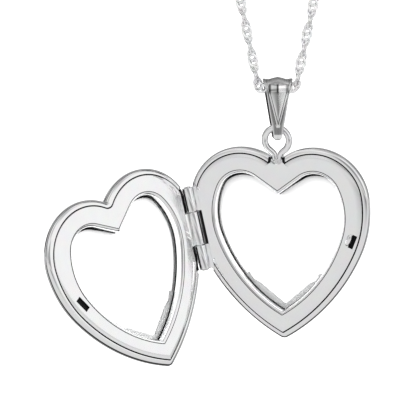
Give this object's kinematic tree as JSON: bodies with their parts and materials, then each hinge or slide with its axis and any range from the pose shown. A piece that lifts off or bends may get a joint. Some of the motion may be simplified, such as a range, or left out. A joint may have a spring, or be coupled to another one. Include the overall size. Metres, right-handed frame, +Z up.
{
  "type": "heart locket",
  "caption": "Heart-shaped photo locket hanging open: hinged back and cover with picture frames, on a tapered bail and a fine rope chain with a spring clasp.",
  "frame": {"origin": "middle of the chain where it carries the bail, which is where the locket hangs from", "axes": "+Z up; +X to the right seen from the front, away from the hinge side; +Y away from the viewer, behind the locket"},
  "size_m": [0.033, 0.0134, 0.0513],
  "materials": {
    "silver": "polished sterling silver",
    "spring_steel": "bright spring wire",
    "clear_plastic": "clear, polished",
    "white_card": "blank white card, matt"
  },
  "bodies": {
    "chain": {"chain": "silver", "clasp_ring": "silver", "tag_ring": "silver", "chain_tag": "silver", "clasp_body": "silver", "clasp_spring": "spring_steel"},
    "clasp_bolt": {"clasp_bolt": "silver"},
    "bail": {"bail": "silver"},
    "back": {"back_shell": "silver", "back_frame": "silver", "back_retainer": "clear_plastic", "back_picture_card": "white_card", "back_hinge_leaf": "silver", "hinge_pin": "silver", "eyelet": "silver"},
    "cover": {"cover_shell": "silver", "cover_frame": "silver", "cover_retainer": "clear_plastic", "cover_picture_card": "white_card", "cover_hinge_leaf": "silver"}
  },
  "joints": [
    {"name": "bail_swing", "type": "hinge", "parent": "chain", "child": "bail", "pos_m": [0, 0, 0.00012], "axis": [1, 0, 0], "range_deg": [-50, 50]},
    {"name": "locket_swing", "type": "hinge", "parent": "bail", "child": "back", "pos_m": [-0.00007, 0, -0.00389], "axis": [1, 0, 0], "range_deg": [-60, 60]},
    {"name": "cover_hinge", "type": "hinge", "parent": "back", "child": "cover", "pos_m": [-0.00811, 0.00324, -0.01442], "axis": [-0.2168, -0.0038, 0.9762], "range_deg": [-40, 121.2]},
    {"name": "clasp_pull", "type": "hinge", "parent": "chain", "child": "clasp_bolt", "pos_m": [-0.00605, 0, 0.02023], "axis": [0, -1, 0], "range_deg": [0, 50], "stiffness_Nm_per_rad": 0.000002, "springref_deg": -28.65, "deforming": ["clasp_spring"]}
  ]
}
